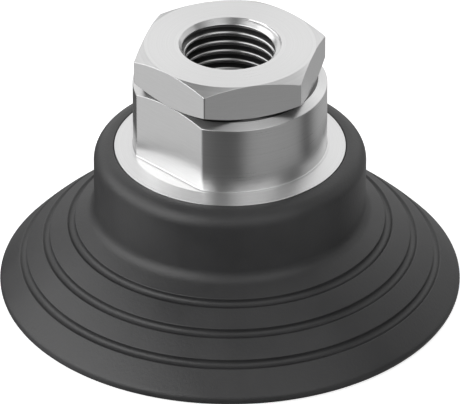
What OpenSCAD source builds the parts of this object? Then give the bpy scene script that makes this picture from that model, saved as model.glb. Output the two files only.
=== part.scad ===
// Vacuum suction cup with a threaded metal connector.
// Millimetres, +Z up. The origin is the centre of the sealing lip's plane, on the axis of symmetry.

/* [Suction cup] */
// Diameter over the sealing lip
cup_d = 60; // [50:0.5:74]
// Height from the sealing lip to the collar's top edge
cup_h = 20.7; // [18:0.1:28]
// Thickness of the collar's wall outside the buried edge
collar_wall = 1.4; // [1.1:0.05:2.4]
// Radius of the collar's rounded shoulder
shoulder_r = 2.1; // [0.5:0.1:2.4]
// Height at which the skirt's curve meets the line of the collar's wall
skirt_top_h = 11.45; // [9.5:0.05:13]
// Radius of the skirt's bowed section
skirt_arc_r = 48; // [35:1:90]
// Thickness of the skirt
skirt_wall = 1.9; // [1.4:0.1:2.6]
// Radius of the fillet between collar and skirt
collar_fillet_r = 2; // [0.5:0.1:3]
// Radius of the lip's rounded edge
lip_r = 0.9; // [0.5:0.05:1.2]
// Number of grooves round the skirt
groove_count = 3; // [1:1:4]
// Radius of each groove's round section
groove_r = 0.58; // [0.3:0.02:0.8]
// Distance along the skirt from the collar's line to the first groove
first_groove_gap = 3.6; // [2.6:0.1:5]
// Height of the hub's underside above the lip
hub_floor_h = 9.6; // [9:0.1:11]
// Number of support ribs under the hub
rib_count = 12; // [4:1:16]
// Width of each support rib
rib_w = 1.8; // [1:0.1:2.4]
// Height of the ribs' feet above the lip
rib_foot_h = 4.6; // [4.2:0.1:6]

/* [Carrier body] */
// Wall between the stem's bore and the spanner flats
body_wall = 1.95; // [1.5:0.05:3]
// Depth of each spanner flat below the round body
flat_depth = 1.5; // [1:0.1:2.5]
// Height from the flange's rim to the body's top face
body_h = 10.28; // [9:0.02:16]
// Radius of the fillet at the foot of the body
foot_fillet_r = 0.35; // [0.2:0.05:0.8]
// Width of the flange that shows round the body
flange_w = 2.45; // [1.5:0.05:4]
// Outward slope of the flange, in degrees
flange_slope = 11; // [0:1:15]
// Width of the flange's edge buried in the collar
anchor_w = 1.25; // [0.8:0.05:2]
// Thickness of the buried edge
anchor_t = 1.5; // [1:0.1:2]
// Depth of rubber over the buried edge
anchor_cover = 1.2; // [0.8:0.1:2]
// Wall of the spigot round the hollow screw
spigot_wall = 3; // [2:0.1:4]

/* [Hex connector] */
// Thickness of the hexagon
hex_h = 4.8; // [4:0.1:8]
// Slope of the corner chamfers on hexagon and body, in degrees
chamfer_slope = 27; // [15:1:35]
// Wall between the port's thread and the outside of the stem
stem_wall = 2.4215; // [2:0.0005:3]
// Length of the stem below the hexagon
stem_l = 9; // [7:0.1:10]
// Diameter of the air passage at the stem's lower end
passage_d = 8; // [6:0.1:10]

/* [Vacuum port, G 1/4] */
// Thread major diameter
port_major_d = 13.157; // [10:0.001:17]
// Depth of the thread
port_thread_depth = 0.856; // [0.7:0.001:1]
// Thread pitch
port_pitch = 1.337; // [1.2:0.001:1.6]
// Depth of the thread below the top face
port_depth = 10; // [8:0.1:11]
// Width of the mouth's chamfer outside the thread
port_mouth_step = 0.02; // [0:0.01:0.4]

/* [Seals and strainer] */
// Cross-section diameter of the connector's O-ring
o_ring_section = 1.5; // [1:0.1:1.8]
// How far the O-ring's neck stands short of its cross-section
o_ring_rise = 0.15; // [0:0.05:0.3]
// Thickness of the strainer disc
strainer_t = 0.8; // [0.5:0.1:1]
// Diameter of each strainer hole
strainer_hole_d = 1.1; // [0.8:0.1:1.3]
// Distance between strainer holes
strainer_pitch = 1.9; // [1.7:0.1:2.4]
// Thickness of the seal under the hollow screw's head
screw_seal_t = 0.8; // [0.5:0.1:1]

/* [Clamp] */
// Width of the clamp washer outside the spigot
washer_w = 4; // [2:0.1:5]
// Thickness of the clamp washer
washer_t = 1.5; // [1:0.1:1.5]
// Thread diameter of the hollow screw
screw_d = 10; // [8:0.5:12]
// Width of the hollow screw's head outside its thread
screw_head_w = 1.75; // [1.4:0.05:2.5]
// Height of the hollow screw's head
screw_head_h = 2.4; // [2:0.1:2.4]
// Thread length of the hollow screw above the washer
screw_grip_l = 6.6; // [5:0.1:6.8]
// Width across the flats of the screw's hexagon socket
socket_af = 7; // [6:0.1:8]
// Thickness of the head above the hexagon socket
socket_floor = 0.4; // [0.3:0.1:1]
// Diameter of the air passage through the screw
screw_bore_d = 5.6; // [4:0.1:6]

/* [Clearances] */
// Gap between the rubber cup and the metal inside it
bond_gap = 0.05; // [0.03:0.01:0.1]
// Gap between the hexagon and the body's top face
seat_gap = 0.02; // [0.01:0.01:0.05]
// Radial running clearance of the threads
thread_gap = 0.05; // [0.03:0.01:0.08]
// Gap round the O-ring
o_ring_gap = 0.03; // [0.02:0.01:0.05]
// Gap under the end of the connector's stem
stem_end_gap = 1; // [0.5:0.1:1.4]

/* [Hidden] */
$fn = 120;
arc_fn = 360;
over = 1;

// Radii of the round parts, from the port outwards
port_major_r = port_major_d / 2;
port_minor_r = port_major_r - port_thread_depth;
port_mouth_r = port_major_r + port_mouth_step;
stem_r = port_major_r + stem_wall;
stem_bore_r = stem_r + thread_gap;
flat_r = stem_bore_r + body_wall;
hex_corner_r = flat_r / cos(30);
body_r = flat_r + flat_depth;
flange_r = body_r + flange_w;
anchor_r = flange_r + anchor_w;
collar_r = anchor_r + collar_wall;
cup_r = cup_d / 2;

// Radii of the clamp, from the hollow screw outwards
screw_r = screw_d / 2;
screw_head_r = screw_r + screw_head_w;
spigot_r = screw_r + spigot_wall;
washer_r = spigot_r + washer_w;

// Levels, from the lip up
anchor_top_z = cup_h - anchor_cover;
anchor_bottom_z = anchor_top_z - anchor_t;
foot_r = body_r + foot_fillet_r;
foot_z = cup_h + (flange_r - foot_r) * tan(flange_slope);
body_top_z = cup_h + body_h;
body_chamfer_h = flat_depth * tan(chamfer_slope);
hex_bottom_z = body_top_z + seat_gap;
hex_top_z = hex_bottom_z + hex_h;
hex_chamfer_h = (hex_corner_r - flat_r) * tan(chamfer_slope);
stem_bottom_z = hex_bottom_z - stem_l;
bore_floor_z = stem_bottom_z - stem_end_gap;

// O-ring in the neck under the hexagon, in the body's countersink
neck_r = stem_r - o_ring_section + o_ring_rise;
o_ring_r = neck_r + o_ring_gap + o_ring_section / 2;
o_ring_z = hex_bottom_z - o_ring_gap - o_ring_section / 2;
neck_h = o_ring_section + 2 * o_ring_gap;
countersink_r = o_ring_r + body_top_z - o_ring_z + (o_ring_section / 2 + o_ring_gap) * sqrt(2);

// Strainer recess and the chamber below it
strainer_r = stem_r - 0.6;
strainer_z = bore_floor_z - strainer_t;
chamber_r = strainer_r - 1.6;
chamber_floor_z = anchor_bottom_z + 0.3;

// Clamp below the hub
washer_z = hub_floor_h - washer_t;
seal_z = washer_z - screw_seal_t;
screw_z = seal_z - screw_head_h;
screw_top_z = hub_floor_h + screw_grip_l;
seal_outer_r = screw_head_r - 0.4;
rib_start_r = washer_r + 0.6;
rib_end_r = collar_r + 1;

// Skirt section: a big arc from the collar's line to the lip's round edge
skirt_start = [collar_r, skirt_top_h];
lip_centre = [cup_r - lip_r, lip_r];
arc_centre = circles_meet(skirt_start, skirt_arc_r, lip_centre, skirt_arc_r - lip_r);
lip_tangent = along(arc_centre, lip_centre, skirt_arc_r);
lip_angle = steepness(lip_centre);
first_groove_angle = steepness(skirt_start) + first_groove_gap / skirt_arc_r * 180 / PI;
groove_step_angle = (lip_angle - first_groove_angle) / groove_count;
fillet_centre_r = collar_r + collar_fillet_r;
fillet_centre_z = arc_centre[1]
    + sqrt(pow(skirt_arc_r + collar_fillet_r, 2) - pow(fillet_centre_r - arc_centre[0], 2));
fillet_centre = [fillet_centre_r, fillet_centre_z];
fillet_tangent = along(arc_centre, fillet_centre, skirt_arc_r);

// Port thread: rings of the thread's profile, with lands at the minor diameter
port_mouth_h = port_mouth_r - port_minor_r;
thread_root_w = port_pitch / 6;
thread_flank_w = port_thread_depth * tan(27.5);
thread_turns = floor((port_depth - port_mouth_h) / port_pitch);

// The lower of the two points at distance a from p and b from q
function circles_meet(p, a, q, b) =
    let (d = q - p, l = norm(d), t = (l * l + a * a - b * b) / (2 * l), h = sqrt(a * a - t * t), u = d / l)
    p + u * t + h * [u[1], -u[0]];

// The point at distance r from p, on the line through q
function along(p, q, r) = p + (q - p) * r / norm(q - p);

// Slope of the skirt's arc at a point on it, in degrees below horizontal
function steepness(p) = atan2(p[0] - arc_centre[0], p[1] - arc_centre[1]);

// A point of the skirt's arc at a given slope
function on_arc(angle) = arc_centre + skirt_arc_r * [sin(angle), cos(angle)];

// A ring of rectangular section
module ring(inner_r, outer_r, z, h) {
    translate([0, 0, z])
        difference() {
            cylinder(r = outer_r, h = h);
            translate([0, 0, -over]) cylinder(r = inner_r, h = h + 2 * over);
        }
}

// Section of a square inner corner filled to a concave fillet
module corner_fill(r) {
    difference() {
        square(r);
        translate([r, r]) circle(r);
    }
}

// Section of everything under the skirt's outer curve, lip included
module skirt_section() {
    intersection() {
        translate(arc_centre) circle(skirt_arc_r, $fn = arc_fn);
        polygon([
            [0, 0], [lip_centre[0], 0], lip_centre, lip_tangent,
            [lip_tangent[0], skirt_top_h + collar_fillet_r], [0, skirt_top_h + collar_fillet_r]
        ]);
    }
    translate(lip_centre) circle(lip_r);
}

// Section of the collar with its rounded shoulder
module collar_section() {
    shoulder_x = collar_r - shoulder_r;
    square([shoulder_x, cup_h]);
    square([collar_r, cup_h - shoulder_r]);
    translate([shoulder_x, cup_h - shoulder_r]) circle(shoulder_r);
}

// Section of the concave fillet between the collar and the skirt
module collar_fillet_section() {
    inside_r = collar_r - 1;
    difference() {
        polygon([
            [inside_r, fillet_centre_z], fillet_centre, fillet_tangent, [inside_r, fillet_tangent[1] - 1]
        ]);
        translate(fillet_centre) circle(collar_fillet_r);
    }
}

// Section of the room for the flange, the spigot and the hollow underside
module cup_hollow_section() {
    square([spigot_r + bond_gap, cup_h + over]);
    translate([0, anchor_bottom_z - bond_gap]) square([anchor_r + bond_gap, anchor_t + 2 * bond_gap]);
    translate([0, anchor_top_z]) square([flange_r + bond_gap, anchor_cover + over]);
    intersection() {
        translate(arc_centre) circle(skirt_arc_r - skirt_wall, $fn = arc_fn);
        translate([0, -over]) square([cup_r, hub_floor_h + bond_gap + over]);
    }
}

module grooves_section() {
    for (i = [0 : groove_count - 1])
        translate(on_arc(first_groove_angle + i * groove_step_angle)) circle(groove_r);
}

module support_ribs() {
    for (i = [0 : rib_count - 1])
        rotate([0, 0, i * 360 / rib_count])
            translate([0, 0, rib_foot_h])
                linear_extrude(height = hub_floor_h + bond_gap + 0.3 - rib_foot_h) {
                    translate([rib_start_r + rib_w / 2, -rib_w / 2])
                        square([rib_end_r - rib_start_r - rib_w, rib_w]);
                    translate([rib_start_r + rib_w / 2, 0]) circle(rib_w / 2);
                    translate([rib_end_r - rib_w / 2, 0]) circle(rib_w / 2);
                }
}

module suction_cup() color([0.2, 0.2, 0.21]) {
    rotate_extrude()
        difference() {
            union() {
                skirt_section();
                collar_section();
                collar_fillet_section();
            }
            cup_hollow_section();
            grooves_section();
        }
    support_ribs();
}

// One of the two spanner flats' cuts, on the +Y side
module flat_cut() {
    translate([-2 * body_r, 0, 0])
        rotate([90, 0, 90])
            linear_extrude(height = 4 * body_r)
                translate([flat_r, foot_z])
                    difference() {
                        square([body_r, body_h + over]);
                        corner_fill(foot_fillet_r);
                    }
}

// Outer section of the carrier body
module carrier_section() {
    polygon([
        [0, hub_floor_h], [spigot_r, hub_floor_h], [spigot_r, anchor_bottom_z],
        [anchor_r, anchor_bottom_z], [anchor_r, anchor_top_z], [flange_r, anchor_top_z],
        [flange_r, cup_h], [foot_r, foot_z], [body_r, foot_z],
        [body_r, body_top_z - body_chamfer_h], [flat_r, body_top_z], [0, body_top_z]
    ]);
    translate([body_r, foot_z]) corner_fill(foot_fillet_r);
}

module carrier_body() color([0.78, 0.79, 0.8])
    difference() {
        rotate_extrude() carrier_section();
        for (side = [0, 180]) rotate([0, 0, side]) flat_cut();
        translate([0, 0, bore_floor_z]) cylinder(r = stem_bore_r, h = hex_h + stem_l + stem_end_gap);
        translate([0, 0, body_top_z - (countersink_r - stem_bore_r)])
            cylinder(r1 = stem_bore_r, r2 = countersink_r + over, h = countersink_r - stem_bore_r + over);
        translate([0, 0, strainer_z]) cylinder(r = strainer_r + seat_gap, h = strainer_t + over);
        translate([0, 0, chamber_floor_z]) cylinder(r = chamber_r, h = strainer_z - chamber_floor_z + over);
        translate([0, 0, hub_floor_h - over])
            cylinder(r = screw_r + thread_gap, h = chamber_floor_z - hub_floor_h + 2 * over);
    }

// The hexagon, with the same chamfer above and below
module hexagon() {
    intersection() {
        translate([0, 0, hex_bottom_z]) cylinder(r = hex_corner_r, h = hex_h, $fn = 6);
        rotate_extrude()
            polygon([
                [0, hex_bottom_z], [flat_r, hex_bottom_z], [hex_corner_r, hex_bottom_z + hex_chamfer_h],
                [hex_corner_r, hex_top_z - hex_chamfer_h], [flat_r, hex_top_z], [0, hex_top_z]
            ]);
    }
}

// Mouth chamfer, minor bore and thread rings of the vacuum port
module port_section() {
    translate([0, hex_top_z - port_depth]) square([port_minor_r, port_depth + over]);
    polygon([
        [0, hex_top_z - port_mouth_h], [port_minor_r, hex_top_z - port_mouth_h],
        [port_mouth_r, hex_top_z], [port_mouth_r, hex_top_z + over], [0, hex_top_z + over]
    ]);
    for (i = [0 : thread_turns - 1])
        translate([port_minor_r, hex_top_z - port_mouth_h - (i + 0.5) * port_pitch])
            polygon([
                [-over, thread_root_w / 2 + thread_flank_w], [0, thread_root_w / 2 + thread_flank_w],
                [port_thread_depth, thread_root_w / 2], [port_thread_depth, -thread_root_w / 2],
                [0, -thread_root_w / 2 - thread_flank_w], [-over, -thread_root_w / 2 - thread_flank_w]
            ]);
}

module hex_connector() color([0.82, 0.83, 0.84])
    difference() {
        union() {
            hexagon();
            translate([0, 0, stem_bottom_z]) cylinder(r = stem_r, h = stem_l - neck_h);
            translate([0, 0, stem_bottom_z]) cylinder(r = neck_r, h = stem_l + over);
        }
        rotate_extrude() port_section();
        translate([0, 0, stem_bottom_z - over]) cylinder(r = passage_d / 2, h = stem_l + 2 * over);
    }

module connector_o_ring() color([0.1, 0.1, 0.1])
    rotate_extrude()
        translate([o_ring_r, o_ring_z]) circle(o_ring_section / 2);

module strainer_disc() color([0.6, 0.6, 0.58])
    difference() {
        translate([0, 0, strainer_z]) cylinder(r = strainer_r, h = strainer_t);
        for (row = [-4 : 4])
            for (column = [-4 : 4]) {
                x = (column + row / 2) * strainer_pitch;
                y = row * strainer_pitch * sin(60);
                if (norm([x, y]) < chamber_r - strainer_hole_d)
                    translate([x, y, strainer_z - over]) cylinder(d = strainer_hole_d, h = strainer_t + 2 * over);
            }
    }

module clamp_washer() color([0.65, 0.66, 0.68])
    ring(screw_r + 3 * thread_gap, washer_r, washer_z, washer_t);

module hollow_screw() color([0.6, 0.61, 0.63])
    difference() {
        union() {
            translate([0, 0, screw_z]) cylinder(r = screw_head_r, h = screw_head_h);
            translate([0, 0, screw_z]) cylinder(r = screw_r, h = screw_top_z - screw_z);
        }
        translate([0, 0, screw_z - over]) cylinder(d = screw_bore_d, h = screw_top_z - screw_z + 2 * over);
        translate([0, 0, screw_z - over])
            cylinder(d = socket_af / cos(30), h = screw_head_h - socket_floor + over, $fn = 6);
    }

module screw_seal_ring() color([0.12, 0.12, 0.12])
    ring(screw_r + 3 * thread_gap, seal_outer_r, seal_z, screw_seal_t);

suction_cup();
carrier_body();
hex_connector();
connector_o_ring();
strainer_disc();
clamp_washer();
hollow_screw();
screw_seal_ring();
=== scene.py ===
"""Vacuum suction cup: a moulded rubber cup clamped to a turned metal holder, with a hexagonal
threaded connector. The round parts are lofted round the Z axis from sections in metres, (r, z)."""
import math

import bmesh
import bpy
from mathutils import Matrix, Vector


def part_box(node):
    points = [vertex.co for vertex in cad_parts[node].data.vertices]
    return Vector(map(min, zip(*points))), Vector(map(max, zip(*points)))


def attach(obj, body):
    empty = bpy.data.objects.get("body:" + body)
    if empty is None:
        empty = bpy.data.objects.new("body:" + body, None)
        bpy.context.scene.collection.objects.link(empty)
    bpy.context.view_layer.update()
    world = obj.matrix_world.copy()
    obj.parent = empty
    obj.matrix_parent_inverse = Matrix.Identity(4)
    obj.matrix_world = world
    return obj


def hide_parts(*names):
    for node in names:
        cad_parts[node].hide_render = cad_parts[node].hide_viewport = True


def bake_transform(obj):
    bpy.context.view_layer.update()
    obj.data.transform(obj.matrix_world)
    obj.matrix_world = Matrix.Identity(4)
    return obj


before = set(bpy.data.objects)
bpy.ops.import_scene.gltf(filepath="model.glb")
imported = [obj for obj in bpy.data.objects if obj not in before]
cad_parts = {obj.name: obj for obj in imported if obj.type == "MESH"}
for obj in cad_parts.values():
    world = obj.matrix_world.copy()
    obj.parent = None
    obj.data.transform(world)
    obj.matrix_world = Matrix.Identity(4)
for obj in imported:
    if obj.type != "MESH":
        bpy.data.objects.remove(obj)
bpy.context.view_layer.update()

MM = 0.001
TURN = 2 * math.pi
FLAT_MATCH = 0.9995
HEX_NORMALS = [math.radians(30 + 60 * i) for i in range(6)]
HEX_CORNERS = [math.radians(60 * i) for i in range(6)]

# ---------------------------------------------------------------- sizes from the frame
cup_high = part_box("suction_cup")[1]
body_low, body_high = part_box("carrier_body")
hex_low, hex_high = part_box("hex_connector")
ring_low, ring_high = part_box("connector_o_ring")
washer_low, washer_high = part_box("clamp_washer")
screw_low, screw_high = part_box("hollow_screw")
seal_low, seal_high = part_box("screw_seal_ring")
strainer_low, strainer_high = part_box("strainer_disc")

cup_r, cup_top = cup_high.x, cup_high.z
anchor_r, body_top, hub_floor = body_high.x, body_high.z, body_low.z
apothem = hex_high.y
hex_top, stem_bottom = hex_high.z, hex_low.z
ring_h = ring_high.z - ring_low.z
head_gap = 0.03 * MM
stem_rim = 0.6 * MM
ring_proud = 0.15 * MM
hex_bottom = ring_high.z + head_gap
stem_r = strainer_high.x + stem_rim
neck_r = stem_r - ring_h + ring_proud

# ---------------------------------------------------------------- sizes of the rubber cup
gap = 0.05 * MM
collar_r = 17.6 * MM
shoulder_r = 2.1 * MM
collar_fillet_r = 2 * MM
skirt_top = 11.45 * MM
skirt_arc_r = 48 * MM
skirt_wall = 1.9 * MM
lip_r = 0.9 * MM
flange_r = 14.95 * MM
spigot_r = 8 * MM
anchor_cover = 1.2 * MM
anchor_t = 1.5 * MM
first_groove_gap = 3.6 * MM
groove_count = 3
groove_r = 0.58 * MM
groove_edge = 0.12 * MM
groove_reach = math.sqrt(groove_r * (groove_r + 2 * groove_edge))
groove_steps = 24
rib_count = 12
rib_half_w = 0.9 * MM
rib_start, rib_end = 13.5 * MM, 17.7 * MM
rib_foot = 4.6 * MM

# ---------------------------------------------------------------- sizes of the metal pieces
body_r = 12.5 * MM
foot_fillet = 0.3 * MM
# Share of the chamfer, from its top, that the ring of painted shade round the hexagon's seat covers.
seat_share = 0.22
flange_slope = math.radians(11)
chamfer_slope = math.radians(27)
edge = 0.1 * MM
corner_blend = 0.12 * MM
turned_r = apothem * 0.998
port_minor_r, port_major_r = 11.445 / 2 * MM, 13.157 / 2 * MM
port_pitch, port_depth = 1.337 * MM, 10 * MM
port_mouth_r = 6.6 * MM
stem_pitch = 1 * MM
stem_thread_depth = 0.54 * MM
thread_relief = 0.6 * MM
passage_r = 4 * MM
countersink_r = 10.29 * MM
chamber_r, chamber_floor = 6.8 * MM, 18.3 * MM
screw_r, screw_bore_r = 5 * MM, 2.8 * MM
socket_apothem, socket_depth = 3.5 * MM, 2 * MM
anchor_top = cup_top - anchor_cover
anchor_bottom = anchor_top - anchor_t


# ---------------------------------------------------------------- sections
def polar(centre, radius, angle):
    """Point of a circle in a section; angle 0 is outwards and a quarter turn is up."""
    return Vector((centre[0] + radius * math.cos(angle), centre[1] + radius * math.sin(angle)))


def arc(centre, radius, start, end, steps):
    return [polar(centre, radius, start + (end - start) * i / steps) for i in range(steps + 1)]


def fillet(before, corner, after, radius, steps=4):
    """The corner rounded to radius, with one more point on each side that keeps the flats flat."""
    u, v = before - corner, after - corner
    half = max(u.angle(v) / 2, 1e-4)
    reach = min(radius / math.tan(half), 0.4 * u.length, 0.4 * v.length)
    u.normalize()
    v.normalize()
    centre = corner + (u + v).normalized() * (reach / math.cos(half))
    first, last = corner + u * reach, corner + v * reach
    from_first, from_last = first - centre, last - centre
    bend = [centre + from_first.slerp(from_last, i / steps, from_last) * from_first.length
            for i in range(steps + 1)]
    return [corner + u * reach * 1.2] + bend + [corner + v * reach * 1.2]


def rounded(corners):
    """Points of an open outline of (r, z, radius) corners. A radius of 0 keeps a corner sharp."""
    points = []
    for i, (r, z, radius) in enumerate(corners):
        corner = Vector((r, z))
        if radius and 0 < i < len(corners) - 1:
            points += fillet(Vector(corners[i - 1][:2]), corner, Vector(corners[i + 1][:2]), radius)
        else:
            points.append(corner)
    return points


def soft_min(values, width):
    """The smallest value, rounded off where the next one comes within width of it."""
    low, high = sorted(values)[:2]
    share = max(width - (high - low), 0) / width
    return low - share * share * width / 4


def flats_radius(angle, normals, distance, limit=None):
    """Distance from the axis to an outline of flats, with a round limit where it is cut from a bar."""
    values = [limit] if limit else []
    for normal in normals:
        across = math.cos(angle - normal)
        values.append(distance / across if across > 0.2 else 9 * distance)
    return soft_min(values, corner_blend)


def columns(special=(), step=2):
    """Angles round the axis: an even spread, and a few close ones at each special angle."""
    close = [math.radians(a) for a in (-0.75, -0.5, -0.25, 0, 0.25, 0.5, 0.75)]
    angles = [(s + c) % TURN for s in special for c in close]
    for i in range(round(360 / step)):
        angle = math.radians(i * step)
        if all(abs((angle - s + math.pi) % TURN - math.pi) > math.radians(1) for s in special):
            angles.append(angle)
    return sorted(angles)


# ---------------------------------------------------------------- lofts and threads
def on_axis(angle, point):
    """Place of a section's point, (r, z) or (r, z, extra angle)."""
    if len(point) > 2:
        angle += point[2]
    return (point[0] * math.cos(angle), point[0] * math.sin(angle), point[1])


def add_loft(bm, angles, section_at, closed=False):
    """Adds the surface that a section makes round the axis. section_at(angle) gives its points."""
    rows = [[bm.verts.new(on_axis(a, p)) for p in section_at(a)] for a in angles]
    count = len(rows[0])
    for i, row in enumerate(rows):
        following = rows[(i + 1) % len(rows)]
        for j in range(count if closed else count - 1):
            k = (j + 1) % count
            bm.faces.new((row[j], row[k], following[k], following[j]))


def thread_radius(phase, root, crest, crest_share=0.125, flank_share=0.31):
    """Radius of a trapezoid thread at a phase of its pitch; the crest is at phase 0."""
    away = abs((phase + 0.5) % 1 - 0.5)
    return root + (crest - root) * min(max((crest_share / 2 + flank_share - away) / flank_share, 0), 1)


def add_thread(bm, angles, top, bottom, pitch, radius_at, outward, rows_per_turn=16):
    """Adds a right-hand threaded band between two levels, on rows that follow the helix."""
    total = math.ceil((top - bottom) / pitch + 1) * rows_per_turn
    grid = []
    for angle in angles:
        lift = pitch * angle / TURN
        column = []
        for k in range(total + 1):
            z = min(max(top - k * pitch / rows_per_turn + lift, bottom), top)
            column.append(bm.verts.new(on_axis(angle, (radius_at((z - lift) / pitch, z), z))))
        grid.append(column)
    for i, column in enumerate(grid):
        last = i == len(grid) - 1
        following = grid[0] if last else grid[i + 1]
        shift = rows_per_turn if last else 0
        for k in range(total):
            upper, lower = max(k - shift, 0), max(k + 1 - shift, 0)
            corners = [column[k], following[upper], following[lower], column[k + 1]]
            corners = list(dict.fromkeys(corners if not outward else reversed(corners)))
            if len(corners) > 2 and len({tuple(c.co) for c in corners}) > 2:
                bm.faces.new(corners)


def make_piece(name, bm, materials, pick=None):
    """A smooth-shaded object from a bmesh. pick(face) gives the number of each face's material."""
    bmesh.ops.remove_doubles(bm, verts=bm.verts, dist=1e-7)
    bmesh.ops.dissolve_degenerate(bm, edges=bm.edges, dist=1e-7)
    bmesh.ops.recalc_face_normals(bm, faces=bm.faces)
    for face in bm.faces:
        face.smooth = True
        if pick:
            face.material_index = pick(face)
    mesh = bpy.data.meshes.new(name)
    bm.to_mesh(mesh)
    bm.free()
    for material in materials:
        mesh.materials.append(material)
    piece = bpy.data.objects.new(name, mesh)
    bpy.context.scene.collection.objects.link(piece)
    return piece


def looks_along(face, angles):
    """Whether a face is a flat that looks in one of the level directions."""
    return any(face.normal.dot((math.cos(a), math.sin(a), 0)) > FLAT_MATCH for a in angles)


# ---------------------------------------------------------------- materials
class Nodes:
    """Short way to add and link the nodes of one material."""

    def __init__(self, name):
        self.material = bpy.data.materials.new(name)
        self.material.use_nodes = True
        self.tree = self.material.node_tree
        self.shader = self.tree.nodes["Principled BSDF"]
        self.place = self.add("ShaderNodeTexCoord").outputs["Object"]

    def add(self, kind, **settings):
        node = self.tree.nodes.new(kind)
        for key, value in settings.items():
            setattr(node, key, value)
        return node

    def link(self, source, target):
        self.tree.links.new(source, target)

    def put(self, node, name, value):
        """Sets an input, or links it where the value is another node's output."""
        if isinstance(value, bpy.types.NodeSocket):
            self.link(value, node.inputs[name])
        else:
            node.inputs[name].default_value = value

    def maths(self, operation, a, b=0.0):
        node = self.add("ShaderNodeMath", operation=operation)
        self.put(node, 0, a)
        self.put(node, 1, b)
        return node.outputs[0]

    def noise(self, scale, detail=3.0, roughness=0.55, along=None):
        """Noise over the surface, or over one number where along is given."""
        node = self.add("ShaderNodeTexNoise", noise_dimensions="1D" if along else "3D")
        self.put(node, "W" if along else "Vector", along or self.place)
        self.put(node, "Scale", scale)
        self.put(node, "Detail", detail)
        self.put(node, "Roughness", roughness)
        return node.outputs["Fac"]

    def spread(self, value, low, high):
        """Maps the middle of a noise's range to low..high."""
        node = self.add("ShaderNodeMapRange")
        for name, given in (("Value", value), ("From Min", 0.3), ("From Max", 0.7),
                            ("To Min", low), ("To Max", high)):
            self.put(node, name, given)
        return node.outputs["Result"]

    def tint(self, value, dark, light):
        node = self.add("ShaderNodeMix", data_type="RGBA")
        self.link(self.spread(value, 0.0, 1.0), node.inputs["Factor"])
        node.inputs["A"].default_value = (*dark, 1)
        node.inputs["B"].default_value = (*light, 1)
        return node.outputs["Result"]

    def bump(self, height, distance, strength=1.0, normal=None):
        node = self.add("ShaderNodeBump")
        self.put(node, "Height", height)
        self.put(node, "Distance", distance)
        self.put(node, "Strength", strength)
        if normal:
            self.link(normal, node.inputs["Normal"])
        return node.outputs["Normal"]

    def finish(self, **inputs):
        for name, value in inputs.items():
            self.put(self.shader, name.replace("_", " "), value)
        return self.material


def rubber(name, dark, light, roughness):
    """Matte moulded rubber with a fine grain and faint cloudy patches."""
    n = Nodes(name)
    clouds = n.noise(160, 4.0)
    grain = n.noise(2600, 2.0)
    speckle = n.noise(9000, 1.0)
    colour = n.tint(clouds, dark, light)
    normal = n.bump(grain, 0.00005, 0.5, n.bump(speckle, 0.00002, 0.5))
    return n.finish(Base_Color=colour, Specular_IOR_Level=0.7,
                    Roughness=n.spread(clouds, roughness - 0.04, roughness + 0.04),
                    Normal=normal)


def turned_metal(name, dark, light, roughness, marks=0.5, anisotropic=0.6):
    """Lathe-turned metal: fine rings on level faces and fine hoops on walls, from one measure."""
    n = Nodes(name)
    axes = n.add("ShaderNodeSeparateXYZ")
    n.link(n.place, axes.inputs[0])
    x, y, z = axes.outputs
    from_axis = n.maths("SQRT", n.maths("ADD", n.maths("MULTIPLY", x, x), n.maths("MULTIPLY", y, y)))
    feed = n.maths("ADD", from_axis, z)
    fine = n.noise(9000, 2.0, 0.6, feed)
    coarse = n.noise(1700, 3.0, 0.6, feed)
    patches = n.noise(120, 3.0)
    both = n.maths("ADD", n.maths("MULTIPLY", fine, 0.6), n.maths("MULTIPLY", coarse, 0.4))
    tangent = n.add("ShaderNodeTangent", direction_type="RADIAL", axis="Z")
    return n.finish(Base_Color=n.tint(both, dark, light), Metallic=1.0,
                    Anisotropic=anisotropic, Anisotropic_Rotation=0.25,
                    Roughness=n.spread(n.maths("ADD", n.maths("MULTIPLY", both, 0.6),
                                               n.maths("MULTIPLY", patches, 0.4)),
                                       roughness - 0.04, roughness + 0.05),
                    Tangent=tangent.outputs[0], Normal=n.bump(both, 0.000012, marks))


def milled_metal(name, dark, light, roughness):
    """Flat-milled metal with faint marks along the cut."""
    n = Nodes(name)
    stretched = n.add("ShaderNodeMapping")
    n.link(n.place, stretched.inputs["Vector"])
    stretched.inputs["Scale"].default_value = (1, 1, 14)
    marks = n.noise(420, 3.0)
    n.link(stretched.outputs[0], marks.node.inputs["Vector"])
    middle = [(d + l) / 2 for d, l in zip(dark, light)]
    return n.finish(Base_Color=n.tint(marks, middle, light), Metallic=1.0,
                    Roughness=n.spread(marks, roughness - 0.02, roughness + 0.02),
                    Normal=n.bump(marks, 0.000003, 0.2))


ALUMINIUM_DARK, ALUMINIUM_LIGHT = (0.72, 0.72, 0.72), (0.79, 0.79, 0.79)
cup_rubber = rubber("cup_rubber", (0.022, 0.022, 0.023), (0.032, 0.032, 0.033), 0.48)
seal_rubber = rubber("seal_rubber", (0.012, 0.012, 0.012), (0.02, 0.02, 0.02), 0.42)
turned = turned_metal("turned_aluminium", ALUMINIUM_DARK, ALUMINIUM_LIGHT, 0.3)
# Dark metal that paints shade: the port thread's flanks, the hexagon's underside and the holder round
# and under the hexagon's seat get it in place of the shadow they sit in.
painted_shade_metal = turned_metal("painted_shade_aluminium", (0.1, 0.1, 0.1), (0.15, 0.15, 0.15), 0.36, 0.3, 0.2)
milled = milled_metal("milled_aluminium", ALUMINIUM_DARK, ALUMINIUM_LIGHT, 0.3)
steel = turned_metal("clamp_steel", (0.5, 0.5, 0.49), (0.6, 0.6, 0.59), 0.34, 0.4, 0.3)
mesh_steel = turned_metal("strainer_steel", (0.46, 0.46, 0.45), (0.56, 0.56, 0.55), 0.36, 0.2, 0.0)


# ---------------------------------------------------------------- rubber cup
def circles_meet(p, a, q, b):
    """The lower of the two points at distance a from p and b from q."""
    across = q - p
    length = across.length
    along = (length * length + a * a - b * b) / (2 * length)
    side = math.sqrt(a * a - along * along)
    across.normalize()
    return p + across * along + Vector((across.y, -across.x)) * side


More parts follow.
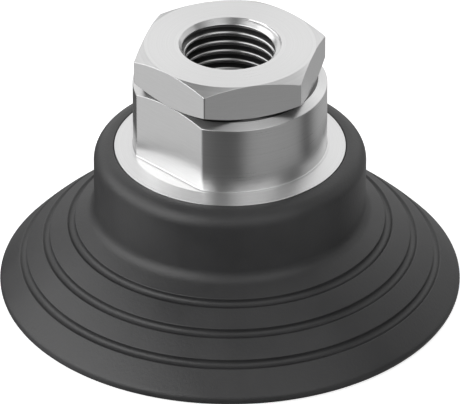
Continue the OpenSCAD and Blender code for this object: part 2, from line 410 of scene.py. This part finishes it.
lip_centre = Vector((cup_r - lip_r, lip_r))
arc_centre = circles_meet(Vector((collar_r, skirt_top)), skirt_arc_r, lip_centre, skirt_arc_r - lip_r)


def arc_angle(point):
    """Angle of a point seen from the skirt's arc centre."""
    return math.atan2(point[1] - arc_centre[1], point[0] - arc_centre[0])


def groove_sink(away):
    """Depth of a half-round groove at a distance from its middle, with softened edges."""
    if away < groove_reach * groove_r / (groove_r + groove_edge):
        return math.sqrt(groove_r ** 2 - away ** 2)
    return groove_edge - math.sqrt(groove_edge ** 2 - max(groove_reach - away, 0) ** 2)


def skirt_outside():
    """Skirt's outer curve from the collar fillet to the lip, with its grooves."""
    start = arc_angle((collar_r, skirt_top))
    lip = arc_angle(lip_centre)
    fillet_out = collar_r + collar_fillet_r
    fillet_up = arc_centre.y + math.sqrt(
        (skirt_arc_r + collar_fillet_r) ** 2 - (fillet_out - arc_centre.x) ** 2)
    fillet_end = arc_angle((fillet_out, fillet_up))
    points = arc((fillet_out, fillet_up), collar_fillet_r, math.pi, math.pi + fillet_end, 12)
    first = start - first_groove_gap / skirt_arc_r
    step = (first - lip) / groove_count
    land_start = fillet_end
    for i in range(groove_count):
        middle = first - i * step
        points += arc(arc_centre, skirt_arc_r, land_start, middle + groove_reach / skirt_arc_r, 8)[1:]
        for j in range(1, groove_steps):
            along = -groove_reach * math.cos(math.pi * j / groove_steps)
            sunk_r = skirt_arc_r - groove_sink(abs(along))
            points.append(polar(arc_centre, sunk_r, middle - along / skirt_arc_r))
        land_start = middle - groove_reach / skirt_arc_r
        points.append(polar(arc_centre, skirt_arc_r, land_start))
    points += arc(arc_centre, skirt_arc_r, land_start, lip, 10)
    points += arc(lip_centre, lip_r, lip, -math.pi / 2, 10)[1:]
    return points


def underside_height(r, angle):
    """Height of the cup's hollow underside, with its support ribs and their soft corners."""
    inner_r = skirt_arc_r - skirt_wall
    dome = arc_centre.y + math.sqrt(inner_r ** 2 - (r - arc_centre.x) ** 2)
    ceiling = soft_min([hub_floor + gap, dome], 1.2 * MM)
    share = TURN / rib_count
    off = (angle + share / 2) % share - share / 2
    along, across = r * math.cos(off), r * math.sin(off)
    distance = math.hypot(max(rib_start - along, 0, along - rib_end), across) / rib_half_w
    return soft_min([ceiling, rib_foot + 0.25 * MM * min(distance, 3) ** 6], 0.5 * MM)


cup_outside = (
    rounded([(flange_r + gap, anchor_top, 0), (flange_r + gap, cup_top, 0.2 * MM),
             (collar_r - shoulder_r, cup_top, 0)])
    + arc((collar_r - shoulder_r, cup_top - shoulder_r), shoulder_r, math.pi / 2, 0, 14)[1:]
    + skirt_outside()
)
lip_inner_r = arc_centre.x + math.sqrt((skirt_arc_r - skirt_wall) ** 2 - arc_centre.y ** 2)
rib_zone_in, rib_zone_out = 11.7 * MM, 19.7 * MM
under_radii = (
    [lip_inner_r - (lip_inner_r - rib_zone_out) * i / 12 for i in range(1, 12)]
    + [rib_zone_out - (rib_zone_out - rib_zone_in) * i / 40 for i in range(41)]
    + [9.6 * MM, 8.4 * MM]
)


def along_rib(r, angle):
    """Extra angle that makes the columns beside a rib run along it, not out from the axis."""
    half_share = TURN / rib_count / 2
    off = (angle + half_share) % (2 * half_share) - half_share
    return off * ((rib_start + rib_end) / 2 / r - 1) * (1 - (off / half_share) ** 2) ** 2


def cup_section(angle):
    under = []
    for r in under_radii:
        extra = along_rib(r, angle) if rib_zone_in <= r <= rib_zone_out else 0
        under.append(Vector((r, underside_height(r, angle + extra), extra)))
    return cup_outside + [Vector((lip_inner_r + 0.05 * MM, 0))] + under + [
        Vector(p) for p in (
            (spigot_r + gap, hub_floor + gap), (spigot_r + gap, anchor_bottom - gap),
            (anchor_r + gap, anchor_bottom - gap), (anchor_r + gap, anchor_top),
        )
    ]


def make_cup():
    bm = bmesh.new()
    add_loft(bm, columns(step=360 / (32 * rib_count)), cup_section, closed=True)
    piece = make_piece("rubber_cup", bm, [cup_rubber])
    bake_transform(piece)
    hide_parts("suction_cup")


# ---------------------------------------------------------------- holder
def stem_thread(phase):
    return thread_radius(phase, stem_r - stem_thread_depth, stem_r)


def make_holder():
    normals = [math.radians(a) for a in (90, 270)]
    edge_angle = math.acos(apothem / body_r)
    angles = columns([n + s * edge_angle for n in normals for s in (-1, 1)])
    foot_z = cup_top + (flange_r - body_r - foot_fillet) * math.tan(flange_slope)
    bore_top = body_top - (countersink_r - stem_r - gap)
    bore_floor = strainer_high.z
    bore_bottom = bore_floor + 0.5 * MM
    bore_r = stem_r + gap
    recess_r = strainer_high.x + 0.02 * MM

    def wall_radius(angle):
        return flats_radius(angle, normals, apothem, body_r)

    def seat_radius(angle):
        """Outer edge of the ring of painted shade round the hexagon's seat, part of the way down the
        chamfer.
        """
        return turned_r + seat_share * (wall_radius(angle) - turned_r)

    def section(angle):
        wall, seat = wall_radius(angle), seat_radius(angle)
        drop = (wall - turned_r) * math.tan(chamfer_slope)
        reach = foot_fillet * min(wall / apothem, 1.15)
        return rounded([
            (bore_r, bore_top, 0), (countersink_r, body_top, edge), (turned_r, body_top, edge),
            (seat, body_top - seat_share * drop, 0),
            (wall, body_top - drop, edge), (wall, foot_z, reach),
            (body_r + foot_fillet * 1.4, foot_z, edge),
            (flange_r, cup_top, edge), (flange_r, anchor_top, edge),
            (anchor_r, anchor_top, edge), (anchor_r, anchor_bottom, edge),
            (spigot_r, anchor_bottom, edge), (spigot_r, hub_floor, edge),
            (screw_r + gap, hub_floor, 0.4 * MM), (screw_r + gap, chamber_floor, edge),
            (chamber_r, chamber_floor, edge), (chamber_r, strainer_low.z, edge),
            (recess_r, strainer_low.z, edge), (recess_r, bore_floor, edge),
            (bore_r, bore_floor, edge), (bore_r, bore_bottom, 0),
        ])

    # Faces inside the seat ring's edge and above the strainer get the dark metal of painted shade: the
    # holder's top under the hexagon, its bore and a strip of the chamfer. Flats get the milled metal.
    def pick(face):
        middle = face.calc_center_median()
        outer = seat_radius(math.atan2(middle.y, middle.x))
        in_seat = math.hypot(middle.x, middle.y) < outer and middle.z > strainer_high.z
        return 2 if in_seat else int(looks_along(face, normals))

    def bore(phase, z):
        return max(stem_thread(phase) + gap, bore_r - min(bore_top - z, z - bore_bottom))

    bm = bmesh.new()
    add_loft(bm, angles, section)
    add_thread(bm, angles, bore_top, bore_bottom, stem_pitch, bore, outward=False)
    piece = make_piece("turned_holder", bm, [turned, milled, painted_shade_metal], pick)
    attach(piece, "holder")
    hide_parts("carrier_body")


# ---------------------------------------------------------------- hexagonal connector
def make_connector():
    angles = columns(HEX_CORNERS)
    neck_bottom = hex_bottom - ring_h - 2 * head_gap
    root_r = stem_r - thread_relief
    thread_end = hex_top - port_depth
    thread_stop = thread_end + 1.1 * MM
    mouth_h = port_mouth_r - port_minor_r
    crest_shine = 0.12 * MM

    def head(angle):
        wall = flats_radius(angle, HEX_NORMALS, apothem)
        drop = (wall - turned_r) * math.tan(chamfer_slope)
        return rounded([
            (port_mouth_r, hex_top, 0), (port_mouth_r + 0.05 * MM, hex_top, 0),
            (turned_r, hex_top, edge), (wall, hex_top - drop, edge),
            (wall, hex_bottom + drop, edge), (turned_r, hex_bottom, edge),
            (neck_r, hex_bottom, 0.15 * MM), (neck_r, neck_bottom, 0.15 * MM),
            (root_r, neck_bottom, 0),
        ])

    def foot(angle):
        return rounded([
            (root_r, stem_bottom, 0), (root_r - edge, stem_bottom, 0),
            (passage_r, stem_bottom, edge), (passage_r, thread_end, edge),
            (port_minor_r, thread_end, edge), (port_minor_r, thread_end + edge, 0),
        ])

    def stem(phase, z):
        return min(stem_thread(phase), root_r + min(neck_bottom - z, z - stem_bottom))

    def port(phase, z):
        groove = thread_radius(phase, port_major_r, port_minor_r, 1 / 6, 0.33)
        fade = min(max((z - thread_stop) / port_pitch, 0), 1)
        return max(port_minor_r + (groove - port_minor_r) * fade, port_mouth_r - (hex_top - z))

    # The port thread's flanks and roots, below the crests that keep the bright metal, and the
    # hexagon's underside get the dark metal of painted shade. Flats get the milled metal.
    def pick(face):
        middle = face.calc_center_median()
        from_axis = math.hypot(middle.x, middle.y)
        below_mouth = middle.z < hex_top - mouth_h
        in_thread = below_mouth and port_minor_r + crest_shine < from_axis < port_major_r
        under_head = face.normal.z < -0.3 and from_axis > neck_r
        return 2 if in_thread or under_head else int(looks_along(face, HEX_NORMALS))

    bm = bmesh.new()
    add_loft(bm, angles, head)
    add_loft(bm, angles, foot)
    add_thread(bm, angles, neck_bottom, stem_bottom, stem_pitch, stem, outward=True)
    add_thread(bm, angles, hex_top, thread_end + edge, port_pitch, port, outward=False)
    piece = make_piece("hexagonal_connector", bm, [turned, milled, painted_shade_metal], pick)
    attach(piece, "connector")
    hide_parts("hex_connector")


# ---------------------------------------------------------------- clamp and seals
def make_ring(name, material, low, high, inner_r, outer_r, softness):
    middle = (inner_r + outer_r) / 2
    corners = [(middle, high, 0), (outer_r, high, softness), (outer_r, low, softness),
               (inner_r, low, softness), (inner_r, high, softness), (middle - 0.01 * MM, high, 0)]
    bm = bmesh.new()
    add_loft(bm, columns(step=2.5), lambda angle: rounded(corners), closed=True)
    return make_piece(name, bm, [material])


def make_screw():
    angles = columns(HEX_CORNERS, step=3)
    head_r = screw_high.x
    head_top = seal_low.z
    thread_top, thread_bottom = screw_high.z, head_top + 1.2 * MM
    root_r = screw_r - thread_relief

    def section(angle):
        socket = flats_radius(angle, HEX_NORMALS, socket_apothem)
        return rounded([
            (root_r, thread_top, 0), (root_r - edge, thread_top, 0), (screw_bore_r, thread_top, edge),
            (screw_bore_r, screw_low.z + socket_depth, edge),
            (socket, screw_low.z + socket_depth, edge),
            (socket, screw_low.z + 0.3 * MM, edge), (socket + 0.3 * MM, screw_low.z, edge),
            (head_r - 0.35 * MM, screw_low.z, edge), (head_r, screw_low.z + 0.35 * MM, edge),
            (head_r, head_top, 0.15 * MM), (screw_r, head_top, edge), (screw_r, thread_bottom, 0),
        ])

    def thread(phase, z):
        lead = root_r + (thread_top - z)
        return min(thread_radius(phase, root_r, screw_r), lead) if z > thread_bottom else screw_r

    bm = bmesh.new()
    add_loft(bm, angles, section)
    add_thread(bm, angles, thread_top, thread_bottom, stem_pitch, thread, outward=True)
    return make_piece("hollow_clamp_screw", bm, [steel])


def make_clamp():
    washer = make_ring("turned_clamp_washer", steel, washer_low.z, washer_high.z,
                       screw_r + 0.15 * MM, washer_high.x, 0.25 * MM)
    seal = make_ring("moulded_screw_seal", seal_rubber, seal_low.z, seal_high.z,
                     screw_r + 0.15 * MM, seal_high.x, 0.3 * MM)
    screw = make_screw()
    for piece, node, slot in ((washer, "clamp_washer", "clamp_steel"),
                              (seal, "screw_seal_ring", "seal_rubber"),
                              (screw, "hollow_screw", "clamp_steel")):
        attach(piece, "holder")
        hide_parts(node)


def make_o_ring():
    section_r = (ring_high.z - ring_low.z) / 2
    centre = (ring_high.x - section_r, ring_low.z + section_r)
    points = arc(centre, section_r, 0, TURN, 32)[:-1]
    bm = bmesh.new()
    add_loft(bm, columns(step=2.5), lambda angle: points, closed=True)
    piece = make_piece("moulded_o_ring", bm, [seal_rubber])
    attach(piece, "seal")
    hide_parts("connector_o_ring")


def finish_strainer():
    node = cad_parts["strainer_disc"]
    node.data.materials.clear()
    node.data.materials.append(mesh_steel)


# ---------------------------------------------------------------- studio
VIEW_AZIMUTH = 45
VIEW_SIDE, VIEW_HEIGHT = 90, 31.9
CAMERA_DISTANCE = 0.83
LENS_MM = 501
LAMP_DISTANCE = 0.6
LAMP_WIDTH = 0.6
FLOOR_Z = -0.00002


def view_direction(side, height):
    """World direction from degrees round the object, where 0 is the view's right and 90 the viewer,
    and degrees above the horizon."""
    round_z, up = math.radians(VIEW_AZIMUTH - side), math.radians(height)
    return Vector((math.cos(up) * math.cos(round_z), math.cos(up) * math.sin(round_z), math.sin(up)))


# Soft boxes of the studio: side, height, half-width of the full light, width of its soft edge,
# strength. Seen from the camera, upright faces mirror what stands 32 degrees below the horizon, and
# level faces mirror what stands 32 degrees above it.
SOFT_BOXES = [
    ("left reflector", 180, -32, 10, 20, 0.6),
    ("right reflector", 35, -32, 25, 15, 0.25),
    ("right wall", -55, -32, 15, 20, 0.35),
    ("back wall", -90, 30, 25, 25, 0.9),
    ("overhead", 0, 90, 5, 15, 0.3),
    ("high right panel", -35, 65, 10, 15, 0.4),
    ("front right panel", 45, 50, 15, 25, 0.3),
]
AMBIENT = 0.07
# Disc lamps: side, height, watts
LAMPS = [
    ("left", 190, 25, 1.5),
    ("front left", 140, 25, 2),
    ("front", 60, 30, 0.7),
    ("right rim", -25, 20, 0.5),
]


def make_world():
    world = bpy.data.worlds.new("studio")
    bpy.context.scene.world = world
    world.use_nodes = True
    tree = world.node_tree
    background = tree.nodes["Background"]
    direction = tree.nodes.new("ShaderNodeTexCoord").outputs["Generated"]
    total = None
    for _, side, height, half, soft, strength in SOFT_BOXES:
        dot = tree.nodes.new("ShaderNodeVectorMath")
        dot.operation = "DOT_PRODUCT"
        tree.links.new(direction, dot.inputs[0])
        dot.inputs[1].default_value = view_direction(side, height)
        spread = tree.nodes.new("ShaderNodeMapRange")
        spread.interpolation_type = "SMOOTHSTEP"
        tree.links.new(dot.outputs["Value"], spread.inputs["Value"])
        spread.inputs["From Min"].default_value = math.cos(math.radians(half + soft))
        spread.inputs["From Max"].default_value = math.cos(math.radians(half))
        spread.inputs["To Min"].default_value = 0
        spread.inputs["To Max"].default_value = strength
        add = tree.nodes.new("ShaderNodeMath")
        add.operation = "ADD"
        tree.links.new(spread.outputs["Result"], add.inputs[0])
        if total is None:
            add.inputs[1].default_value = AMBIENT
        else:
            tree.links.new(total, add.inputs[1])
        total = add.outputs[0]
    tree.links.new(total, background.inputs["Strength"])
    background.inputs["Color"].default_value = (1, 1, 1, 1)


def add_area_light(name, side, height, distance, size, power):
    data = bpy.data.lights.new(name, "AREA")
    data.shape = "DISK"
    data.size = size
    data.energy = power
    light = bpy.data.objects.new(name, data)
    direction = view_direction(side, height)
    light.location = direction * distance
    light.rotation_euler = direction.to_track_quat("Z", "Y").to_euler()
    bpy.context.scene.collection.objects.link(light)


def make_floor():
    bm = bmesh.new()
    rings = [0.0, 0.05, 0.2, 1.0, 4.0]
    add_loft(bm, columns(step=7.5), lambda angle: [Vector((max(r, 1e-4), FLOOR_Z)) for r in rings])
    n = Nodes("pale_floor")
    clouds = n.noise(6, 2.0)
    seen = n.add("ShaderNodeLightPath").outputs["Is Camera Ray"]
    material = n.finish(Base_Color=n.tint(clouds, (0.8, 0.8, 0.8), (0.82, 0.82, 0.82)), Roughness=0.9,
                        Emission_Color=(1, 1, 1, 1), Emission_Strength=n.maths("MULTIPLY", seen, 0.75))
    floor = make_piece("floor", bm, [material])
    floor.visible_glossy = False


def make_camera():
    """A long lens, aimed at a point on the axis a third of the way up."""
    aim = Vector((0, 0, hex_top / 3))
    data = bpy.data.cameras.new("camera")
    data.lens = LENS_MM
    data.sensor_width = 36
    data.clip_start, data.clip_end = 0.05, 20
    camera = bpy.data.objects.new("camera", data)
    direction = view_direction(VIEW_SIDE, VIEW_HEIGHT)
    camera.location = aim + direction * CAMERA_DISTANCE
    camera.rotation_euler = direction.to_track_quat("Z", "Y").to_euler()
    bpy.context.scene.collection.objects.link(camera)
    bpy.context.scene.camera = camera


make_camera()
make_world()
for name, side, height, watts in LAMPS:
    add_area_light(name, side, height, LAMP_DISTANCE, LAMP_WIDTH, watts)
make_floor()
make_cup()
make_holder()
make_connector()
make_clamp()
make_o_ring()
finish_strainer()
bpy.context.scene.view_settings.view_transform = "Standard"

bpy.context.view_layer.update()
